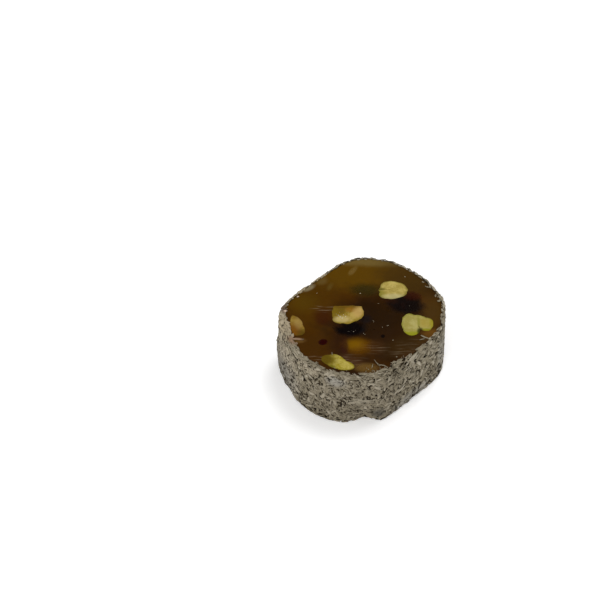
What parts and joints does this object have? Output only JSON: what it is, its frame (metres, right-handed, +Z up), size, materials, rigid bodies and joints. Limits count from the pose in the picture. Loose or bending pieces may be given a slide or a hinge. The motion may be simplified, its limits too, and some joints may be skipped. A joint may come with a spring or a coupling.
{
  "type": "turkish delight",
  "caption": "Round slice of amber jelly confection with cut nut kernels in it and a coat of coconut shreds round its side.",
  "frame": {"origin": "centre of the slice's box at its base, on the surface that the lower cut face lies on", "axes": "+Z up, along the roll's axis; +X to the viewer's right and +Y away from the viewer"},
  "size_m": [0.0474, 0.0478, 0.0201],
  "materials": {
    "jelly": "moist amber-brown jelly, see-through, with a soft sheen on its cut face",
    "coconut": "matt beige coconut shreds in a sticky brown bed",
    "pistachio": "cut pistachio flesh, pale yellow-green, with a dark purple-brown skin"
  },
  "bodies": {
    "root": {"jelly": "jelly", "coconut_coat": "coconut", "pistachio_back_right": "pistachio", "pistachio_centre_left": "pistachio", "pistachio_right": "pistachio", "pistachio_left_edge": "pistachio", "pistachio_front": "pistachio", "pistachio_under_back": "pistachio", "pistachio_under_right": "pistachio", "pistachio_under_front": "pistachio", "pistachio_under_left": "pistachio"}
  },
  "joints": []
}
